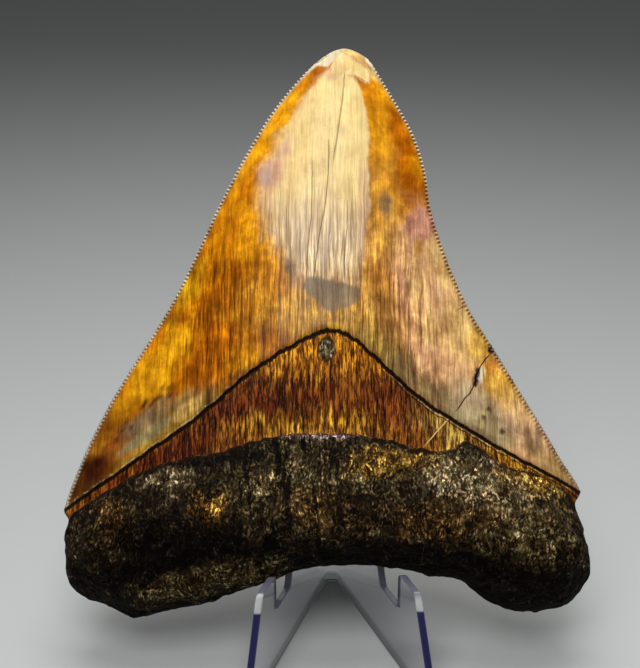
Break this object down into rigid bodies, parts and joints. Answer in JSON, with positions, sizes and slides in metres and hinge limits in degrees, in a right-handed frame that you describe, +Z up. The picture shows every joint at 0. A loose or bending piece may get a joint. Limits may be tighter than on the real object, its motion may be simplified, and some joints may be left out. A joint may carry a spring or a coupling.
{
  "type": "megalodon tooth on easel stand",
  "caption": "Fossil shark tooth with serrated amber crown, chevron groove and dark lobed root, leaning on a clear folded acrylic easel.",
  "frame": {"origin": "on the surface the easel stands on, at the middle of the object's footprint", "axes": "+Z up, -Y the way the tooth's displayed face looks, +X to the viewer's right"},
  "size_m": [0.1164, 0.069, 0.1278],
  "materials": {
    "fossil": null,
    "clear_acrylic": "clear, polished"
  },
  "bodies": {
    "root": {"tooth": "fossil", "stand": "clear_acrylic"}
  },
  "joints": []
}
